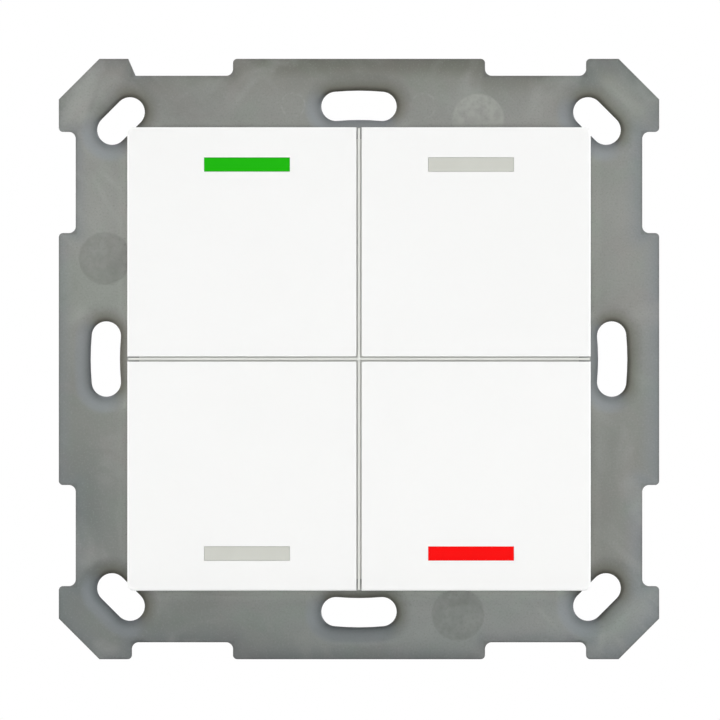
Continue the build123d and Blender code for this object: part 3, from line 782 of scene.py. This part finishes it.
barFinish = {
    "Drift Scale": 220.0,
    "Grain Scale": 9000.0,
    "Speckle": 0.15,
    "Gloss Low": 0.42,
    "Gloss High": 0.55,
}
barBase = {
    "edgeRadius": 0.00013,
    "edgeShare": 0.8,
    "bumpStrength": 0.08,
    "bumpDepth": 0.00001,
    "specular": 0.12,
    "glowStrength": 1.0,
    "grainShare": 0.92,         # of the glow, in the grain
    "rimShare": 0.7,            # of the glow, at the edge
}
barSet = {
    "greenBar": {
        "nodes": ["light_guide_top_left"],
        "skin": {**barFinish, "Color": (0.008, 0.300, 0.002, 1.0), "Shade": (0.007, 0.270, 0.002, 1.0)},
        "edgeTone": (0.005, 0.170, 0.002),
        "ledGlowAndPaintedHighlight": (0.004, 0.175, 0.0006),
    },
    "redBar": {
        "nodes": ["light_guide_bottom_right"],
        "skin": {**barFinish, "Color": (0.560, 0.0022, 0.0022, 1.0), "Shade": (0.520, 0.002, 0.002, 1.0)},
        "edgeTone": (0.400, 0.002, 0.002),
        "ledGlowAndPaintedHighlight": (0.420, 0.0012, 0.0012),
    },
    "milkyBar": {
        "nodes": ["light_guide_top_right", "light_guide_bottom_left"],
        "skin": {**barFinish, "Color": (0.612, 0.620, 0.572, 1.0), "Shade": (0.585, 0.592, 0.545, 1.0)},
        "edgeTone": (0.500, 0.508, 0.468),
        "ledGlowAndPaintedHighlight": None,
    },
}


def lightBar(name, values):
    material, tree, shader, skin, paintedEdgeHighlightAndShade = mouldedPlastic(name, values)
    shader.inputs["Specular IOR Level"].default_value = values["specular"]
    if values["ledGlowAndPaintedHighlight"]:
        grainy = dimmed(values["ledGlowAndPaintedHighlight"], values["grainShare"])
        ledGlowAndPaintedHighlight = mixColour(tree, skin.outputs["Height"], rgba(values["ledGlowAndPaintedHighlight"]), grainy)
        ledGlowAndPaintedHighlight = mixColour(tree, paintedEdgeHighlightAndShade, ledGlowAndPaintedHighlight, dimmed(values["ledGlowAndPaintedHighlight"], values["rimShare"]))
        tree.links.new(ledGlowAndPaintedHighlight, shader.inputs["Emission Color"])
        shader.inputs["Emission Strength"].default_value = values["glowStrength"]
    return material


for barName, bar in barSet.items():
    dress(lightBar(barName, {**barBase, **bar}), bar["nodes"])
print("buttons and light bars finished")


# inner plastics and rear side

plasticSet = {
    "carrierGrey": {
        "nodes": ["button_carrier"],
        "skin": {"Color": (0.77, 0.78, 0.745, 1.0), "Shade": (0.73, 0.74, 0.705, 1.0),
                 "Gloss Low": 0.45, "Gloss High": 0.6, "Grain Scale": 6000.0},
        "edgeRadius": 0.00006, "edgeTone": (0.79, 0.80, 0.765), "edgeShare": 0.5,
        "bumpStrength": 0.2, "bumpDepth": 0.00001,
    },
    "housingGrey": {
        "nodes": ["rear_housing"],
        "skin": {"Color": (0.50, 0.51, 0.50, 1.0), "Shade": (0.44, 0.45, 0.445, 1.0), "Speckle": 0.5,
                 "Gloss Low": 0.46, "Gloss High": 0.66, "Grain Scale": 3800.0, "Drift Scale": 80.0},
        "edgeRadius": 0.00025, "edgeTone": (0.60, 0.61, 0.60), "edgeShare": 0.7,
        "bumpStrength": 0.5, "bumpDepth": 0.00003,
    },
    "switchBlack": {
        "nodes": ["programming_switch"] + ["switch_body_" + corner for corner in corners],
        "skin": {"Color": (0.022, 0.022, 0.024, 1.0), "Shade": (0.035, 0.035, 0.037, 1.0),
                 "Gloss Low": 0.38, "Gloss High": 0.55},
        "edgeRadius": 0.00012, "edgeTone": (0.06, 0.06, 0.063), "edgeShare": 0.7,
        "bumpStrength": 0.25, "bumpDepth": 0.00001,
    },
    "plungerGrey": {
        "nodes": ["programming_button"] + ["switch_stem_" + corner for corner in corners],
        "skin": {"Color": (0.20, 0.20, 0.205, 1.0), "Shade": (0.16, 0.16, 0.165, 1.0),
                 "Gloss Low": 0.35, "Gloss High": 0.5},
        "edgeRadius": 0.00012, "edgeTone": (0.28, 0.28, 0.285), "edgeShare": 0.7,
        "bumpStrength": 0.2, "bumpDepth": 0.00001,
    },
    "lightHousing": {
        "nodes": ["status_led_" + corner for corner in corners],
        "skin": {"Color": (0.80, 0.79, 0.70, 1.0), "Shade": (0.74, 0.72, 0.58, 1.0),
                 "Gloss Low": 0.3, "Gloss High": 0.45},
        "edgeRadius": 0.0001, "edgeTone": (0.84, 0.83, 0.76), "edgeShare": 0.6,
        "bumpStrength": 0.1, "bumpDepth": 0.00001,
    },
    "lightRed": {
        "nodes": ["programming_led"],
        "skin": {"Color": (0.42, 0.010, 0.010, 1.0), "Shade": (0.33, 0.006, 0.006, 1.0), "Drift Scale": 400.0,
                 "Gloss Low": 0.1, "Gloss High": 0.2},
        "edgeRadius": 0.00015, "edgeTone": (0.55, 0.03, 0.03), "edgeShare": 0.6,
        "bumpStrength": 0.05, "bumpDepth": 0.00001,
    },
    "packageBlack": {
        "nodes": ["microcontroller", "bus_transceiver"],
        "skin": {"Color": (0.016, 0.016, 0.018, 1.0), "Shade": (0.040, 0.040, 0.042, 1.0), "Speckle": 0.6,
                 "Gloss Low": 0.5, "Gloss High": 0.68, "Grain Scale": 9000.0},
        "edgeRadius": 0.0001, "edgeTone": (0.06, 0.06, 0.062), "edgeShare": 0.7,
        "bumpStrength": 0.3, "bumpDepth": 0.00001,
    },
    "packageAmber": {
        "nodes": ["buffer_capacitor"],
        "skin": {"Color": (0.50, 0.30, 0.045, 1.0), "Shade": (0.42, 0.24, 0.03, 1.0),
                 "Gloss Low": 0.35, "Gloss High": 0.5},
        "edgeRadius": 0.00015, "edgeTone": (0.58, 0.38, 0.08), "edgeShare": 0.7,
        "bumpStrength": 0.15, "bumpDepth": 0.00001,
    },
}
for plasticName, plastic in plasticSet.items():
    dress(mouldedPlastic(plasticName, plastic)[0], plastic["nodes"])


# circuit board: solder mask over tracks that run level with short slanted steps, and a few round pads

boardSet = {                    # lengths in millimetres
    "mask": (0.016, 0.105, 0.040),
    "track": (0.026, 0.165, 0.066),
    "pad": (0.42, 0.43, 0.40),
    "trackPitch": 0.75,
    "trackWidth": 0.2,
    "trackFade": (0.05, -0.02),
    "stepLength": 4.5,
    "stepLimits": (1.2, 2.4),
    "bundles": {"scale": 160.0, "detail": 0.0},
    "bundleLimits": (0.46, 0.48),
    "padPitch": 3.1,
    "padShift": 0.9,
    "padRadius": 0.42,
    "padFade": (0.05, -0.05),
    "padMetal": 0.8,
    "wetness": {"scale": 900.0},
    "gloss": (0.26, 0.4),
    "bumpStrength": 0.4,
    "bumpDepth": 0.00003,
}


def solderMask(name, values):
    material, tree, shader = newMaterial(name)
    place, x, _, z = millimetres(tree)
    shortest, longest = values["stepLimits"]
    step = calc(tree, "MAXIMUM", calc(tree, "PINGPONG", x, values["stepLength"]), shortest)
    step = calc(tree, "MINIMUM", step, longest)
    line = calc(tree, "PINGPONG", plus(tree, z, step), values["trackPitch"] / 2)
    tracks = ramp(tree, line, [values["trackWidth"] / 2 + fade for fade in values["trackFade"]])
    bundles = ramp(tree, noise(tree, place, **values["bundles"]), values["bundleLimits"])
    tracks = times(tree, tracks, bundles)
    padX = calc(tree, "PINGPONG", x, values["padPitch"])
    padZ = calc(tree, "PINGPONG", plus(tree, z, values["padShift"]), values["padPitch"])
    pads = ramp(tree, length(tree, padX, padZ), [values["padRadius"] + fade for fade in values["padFade"]])
    colour = mixColour(tree, tracks, rgba(values["mask"]), rgba(values["track"]))
    colour = mixColour(tree, pads, colour, rgba(values["pad"]))
    tree.links.new(colour, shader.inputs["Base Color"])
    tree.links.new(times(tree, pads, values["padMetal"]), shader.inputs["Metallic"])
    wetness = noise(tree, place, **values["wetness"])
    tree.links.new(spread(tree, wetness, *values["gloss"]), shader.inputs["Roughness"])
    addBump(tree, shader, values, calc(tree, "MAXIMUM", tracks, pads))
    return material


dress(solderMask("boardGreen", boardSet), ["circuit_board"])


# bus pins: tinned metal drawn along its length

pinSet = {
    "tin": (0.74, 0.72, 0.66),
    "dull": (0.60, 0.57, 0.50),
    "drawLines": {"scale": 4200.0, "detail": 3.0},
    "drawStretch": (1.0, 0.06, 1.0),
    "metallic": 1.0,
    "gloss": (0.2, 0.38),
    "bumpStrength": 0.2,
    "bumpDepth": 0.00001,
}


def tinnedPin(name, values):
    material, tree, shader = newMaterial(name)
    stretch = tree.nodes.new("ShaderNodeMapping")
    stretch.inputs["Scale"].default_value = values["drawStretch"]
    tree.links.new(objectPlace(tree), stretch.inputs["Vector"])
    lines = noise(tree, stretch.outputs[0], **values["drawLines"])
    colour = mixColour(tree, lines, rgba(values["tin"]), rgba(values["dull"]))
    tree.links.new(colour, shader.inputs["Base Color"])
    tree.links.new(spread(tree, lines, *values["gloss"]), shader.inputs["Roughness"])
    shader.inputs["Metallic"].default_value = values["metallic"]
    addBump(tree, shader, values, lines)
    return material


dress(tinnedPin("pinTinned", pinSet), ["bus_pin_left", "bus_pin_right"])
print("inner plastics, board and pins finished")

bpy.context.scene.view_settings.view_transform = "Standard"
